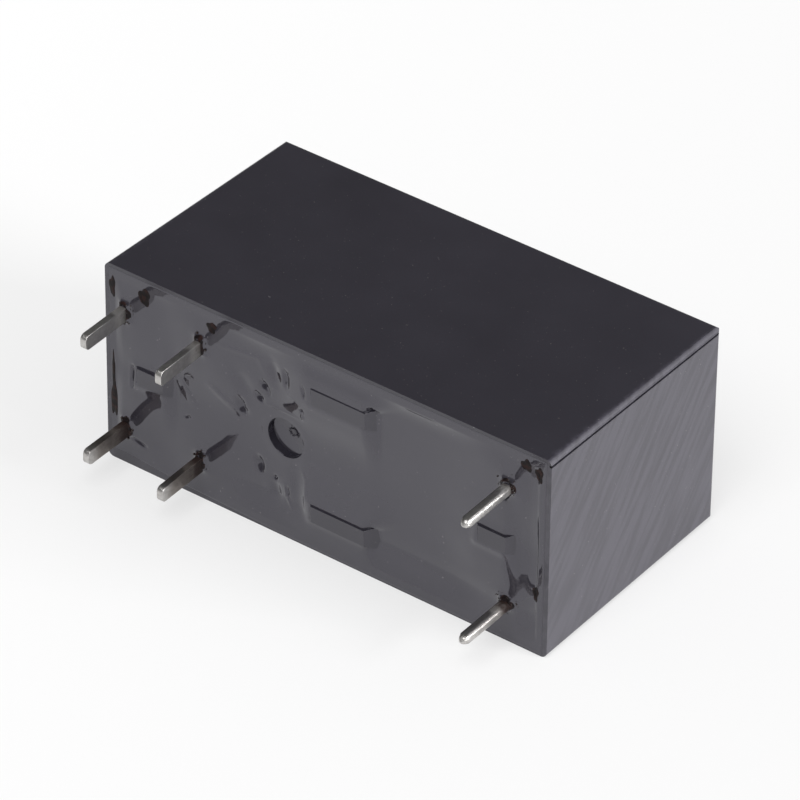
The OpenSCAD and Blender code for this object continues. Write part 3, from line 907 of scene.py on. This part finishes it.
def bead_black():
    """Set beads of flux, shiny and nearly black."""
    material, tree, surface, place = open_material("flux_bead")
    clouds = speckle(tree, place, size=0.1 * MM)
    paint(tree, surface, blend_colour(tree, clouds, tone(16, 12, 12), tone(46, 27, 22)))
    polish(tree, surface, clouds, at_0=0.08, at_1=0.3)
    return material


def crumb_tree():
    """Scatters lumpy crumbs over the faces it is given."""
    tree = bpy.data.node_groups.new("scattered_crumbs", "GeometryNodeTree")
    kinds = {"Geometry": "Geometry", "Crumb size": "Float", "Crumbs per area": "Float", "Seed": "Int",
             "Finish": "Material"}
    identifiers = {}
    for name, kind in kinds.items():
        socket = tree.interface.new_socket(name, in_out="INPUT", socket_type="NodeSocket" + kind)
        identifiers[name] = socket.identifier
    tree.interface.new_socket("Geometry", in_out="OUTPUT", socket_type="NodeSocketGeometry")
    given = tree.nodes.new("NodeGroupInput").outputs
    points = add(tree, "GeometryNodeDistributePointsOnFaces", Mesh=given["Geometry"],
                 Density=given["Crumbs per area"], Seed=given["Seed"])
    crumb = add(tree, "GeometryNodeMeshIcoSphere", Radius=0.5, Subdivisions=2)
    size_shares = add(tree, "FunctionNodeRandomValue", Seed=given["Seed"])
    smallest, largest = size_shares.inputs[2:4]
    smallest.default_value = 0.4
    largest.default_value = 1.3
    size = calc(tree, "MULTIPLY", size_shares.outputs[1], given["Crumb size"])
    crumbs = add(tree, "GeometryNodeInstanceOnPoints", Points=points.outputs["Points"],
                 Instance=crumb.outputs["Mesh"], Scale=size)
    single = add(tree, "GeometryNodeRealizeInstances", Geometry=crumbs.outputs[0])
    lump_w = 0.125 * MM
    lump_depth = 0.05 * MM
    lumps = add(tree, "ShaderNodeTexNoise", Scale=1 / lump_w)
    offset = joined(tree, "ShaderNodeVectorMath", {"operation": "MULTIPLY_ADD"},
                    lumps.outputs["Color"], [lump_depth] * 3, [-lump_depth / 2] * 3)
    shift = add(tree, "GeometryNodeSetPosition", Geometry=single.outputs[0], Offset=offset)
    finish = add(tree, "GeometryNodeSetMaterial", Geometry=shift.outputs[0], Material=given["Finish"])
    add(tree, "NodeGroupOutput", Geometry=finish.outputs[0])
    return tree, identifiers


def scattered(name, patches, size, per_mm2, seed, material):
    """One piece of crumbs on patches of the surface, each given as lines of places round a middle."""
    work = bmesh.new()
    for lines in patches:
        spokes = [[work.verts.new(Vector(place) * MM) for place in line] for line in lines]
        for one, two in zip(spokes, spokes[1:] + spokes[:1]):
            for j in range(len(one) - 1):
                work.faces.new((one[j], one[j + 1], two[j + 1], two[j]))
    piece = placed(name, settled(work, name + "_ground"))
    scatter = piece.modifiers.new("scatter", "NODES")
    scatter.node_group = crumb_group
    settings = {"Crumb size": size * MM, "Crumbs per area": per_mm2 / MM ** 2, "Seed": seed,
                "Finish": material}
    for key, value in settings.items():
        scatter[crumb_inputs[key]] = value
    applied(piece).data.shade_smooth()
    return piece


def root_patch(middle, half, reach):
    """Lines of places on the film round a pin's root."""
    def place(turn, out):
        x, z = round_root(middle, half, turn, out)
        return on_resin(x, z, film_t)
    return rings(root_steps, (0.0, reach / 2, reach), place)


def pip_place(turn, r):
    """A place on the pip at the bottom of the vent well, level on top and sloping round it."""
    glow_with_painted_shade = pip_slope * max(r - pip_reaches[1], 0)
    return (vent_x + r * math.cos(turn), well_y - pip_high + glow_with_painted_shade, r * math.sin(turn))


seat(flux_film(), burnt_flux(), "housing", "epoxy")
crumb_group, crumb_inputs = crumb_tree()
bead_finish = bead_black()
upper_outer_blade = blades[1]
bead_roots = [root_patch(*pin, bead_reach) for pin in pins]
tin_roots = [root_patch(*pin, tin_reach) for pin in [upper_outer_blade] + posts]
pip_patch = rings(pip_steps, pip_reaches, pip_place)
flux_beads = scattered("flux_beads", bead_roots, size=0.13, per_mm2=9.0, seed=3, material=bead_finish)
seat(flux_beads, bead_finish, "housing", "epoxy")
pip_crumbs = scattered("pip_crumbs", [pip_patch], size=0.09, per_mm2=60.0, seed=8, material=base_black)
seat(pip_crumbs, base_black, "housing", "base_plastic")
tin_crumbs = scattered("tin_crumbs", tin_roots, size=0.07, per_mm2=10.0, seed=5, material=blade_tin)
seat(tin_crumbs, blade_tin, "housing", "tinned_copper")


# White sheet that the relay lies on. It looks white, keeps the soft shadow, and ends in reflections
# where the lit part of the table ends. Its glow is painted lower towards the right as painted shade,
# and raised again further out. It is in metres, as the light and the camera are.
sheet_half = 1.5
sheet_z = solid_box[0][2]
lit_r = 0.03
lit_end = 0.14
far_from = 0.06
far_to = 0.35
painted_shade_per_m = -1.2
near_glow = 0.545
least_glow = 0.5
far_glow = 0.5
shadow_grey = 0.4
paper_grey = 0.8
unlit_grey = 0.35


def dull_grey(tree, level):
    """A dull grey shader."""
    return add(tree, "ShaderNodeBsdfDiffuse", Color=(level, level, level, 1)).outputs[0]


def in_mirrors(tree, ray):
    """1 for what is seen by reflection or through something clear."""
    return calc(tree, "MAXIMUM", ray["Is Glossy Ray"], ray["Is Transmission Ray"])


def white_sheet():
    """Paper that is white to the eye and in reflections, darker where light is kept from it and, by
    painted shade, towards the right.
    """
    material = bpy.data.materials.new("white_sheet")
    material.use_nodes = True
    tree = material.node_tree
    tree.nodes.clear()
    ray = tree.nodes.new("ShaderNodeLightPath").outputs
    place = tree.nodes.new("ShaderNodeTexCoord").outputs["Object"]
    far = add(tree, "ShaderNodeVectorMath", {"operation": "LENGTH"}, Vector=place).outputs["Value"]
    right = add(tree, "ShaderNodeSeparateXYZ", Vector=place).outputs["X"]
    lit = calc(tree, "SUBTRACT", 1.0, ramp(tree, far, lit_r, lit_end))
    mirrored = in_mirrors(tree, ray)
    seen = calc(tree, "MAXIMUM", ray["Is Camera Ray"], calc(tree, "MULTIPLY", mirrored, lit))
    # Painted shade: the glow is lower towards the right, darkening the sheet there.
    glow_with_painted_shade = calc(tree, "MULTIPLY_ADD", right, painted_shade_per_m, near_glow)
    kept = calc(tree, "MAXIMUM", glow_with_painted_shade, least_glow)
    raised = calc(tree, "MULTIPLY_ADD", ramp(tree, far, far_from, far_to), far_glow, kept)
    level = calc(tree, "MINIMUM", raised, 1.0)
    glow = add(tree, "ShaderNodeEmission", Color=(1, 1, 1, 1), Strength=level).outputs[0]
    bright = joined(tree, "ShaderNodeAddShader", {}, glow, dull_grey(tree, shadow_grey))
    paper = dull_grey(tree, paper_grey)
    unlit = dull_grey(tree, unlit_grey)
    unseen = joined(tree, "ShaderNodeMixShader", {}, mirrored, paper, unlit)
    whole = joined(tree, "ShaderNodeMixShader", {}, seen, unseen, bright)
    add(tree, "ShaderNodeOutputMaterial", Surface=whole)
    return material


sheet_corners = [(-1, -1), (1, -1), (1, 1), (-1, 1)]
sheet_places = [(x * sheet_half, y * sheet_half, sheet_z) for x, y in sheet_corners]
sheet_mesh = bpy.data.meshes.new("sheet")
sheet_mesh.from_pydata(sheet_places, [], [(0, 1, 2, 3)])
sheet_mesh.materials.append(white_sheet())
sheet = placed("sheet", sheet_mesh)


# Light: a soft room, dim overhead, with a bright wall behind on the right, a soft box above, and one
# low on the right.
lit_point = Vector((0.0, 0.007, 0.0))
wall_way = Vector((0.62, 0.65, 0.35)).normalized()
wall_glow = 1.4
horizon_glow = 0.16
room_glow = 0.09
room_light = 0.4


def soft_box(name, place, size, power):
    """A square area lamp turned to the relay."""
    lamp = bpy.data.lights.new(name, "AREA")
    lamp.size = size
    lamp.energy = power
    holder = placed(name, lamp)
    holder.location = place
    holder.rotation_euler = (lit_point - Vector(place)).to_track_quat("-Z", "Y").to_euler()


soft_box("soft_box_right", (0.5, 0.1, 0.12), size=0.25, power=3.6)
soft_box("soft_box_above", (0.1, -0.33, 0.5), size=0.35, power=2.0)

world = bpy.data.worlds.new("soft_room")
world.use_nodes = True
bpy.context.scene.world = world
room = world.node_tree
room.nodes.clear()
room_ray = room.nodes.new("ShaderNodeLightPath").outputs
toward = room.nodes.new("ShaderNodeTexCoord").outputs["Generated"]
facing = add(room, "ShaderNodeVectorMath", {"operation": "DOT_PRODUCT"}, Vector=toward)
facing.inputs[1].default_value = wall_way
wall_share = ramp(room, facing.outputs["Value"], low=0.8, high=0.97)
height = add(room, "ShaderNodeSeparateXYZ", Vector=toward).outputs["Z"]
horizon = calc(room, "SUBTRACT", 1.0, ramp(room, height, low=0.0, high=0.4))
plain_room = calc(room, "MULTIPLY_ADD", horizon, horizon_glow, room_glow)
mirrored_room = calc(room, "MULTIPLY_ADD", wall_share, wall_glow, plain_room)
unseen_room = add(room, "ShaderNodeMapRange", Value=in_mirrors(room, room_ray), To_Min=room_light,
                  To_Max=mirrored_room)
strength = calc(room, "MAXIMUM", room_ray["Is Camera Ray"], unseen_room.outputs[0])
backdrop = add(room, "ShaderNodeBackground", Color=(1, 1, 1, 1), Strength=strength)
add(room, "ShaderNodeOutputWorld", Surface=backdrop.outputs[0])


# Camera: a long lens from the front right and above, at the photograph's angle.
azimuth = math.radians(36.88)
elevation = math.radians(35.62)
roll = math.radians(0.665)
aim = Vector((4.9015, 0.336, 5.829)) * MM
distance = 326.1 * MM
focal_px = 6408.5
frame_px = 800

lens = bpy.data.cameras.new("camera")
lens.sensor_width = 36.0
lens.lens = focal_px / frame_px * lens.sensor_width
lens.clip_start = 0.01
outward = Vector((math.sin(azimuth) * math.cos(elevation), -math.cos(azimuth) * math.cos(elevation),
                  math.sin(elevation)))
camera = placed("camera", lens)
upright = outward.to_track_quat("Z", "Y").to_matrix().to_4x4()
turned = Matrix.Rotation(roll, 4, outward) @ upright
camera.matrix_world = Matrix.Translation(aim + distance * outward) @ turned
bpy.context.scene.camera = camera
bpy.context.scene.view_settings.view_transform = "Standard"
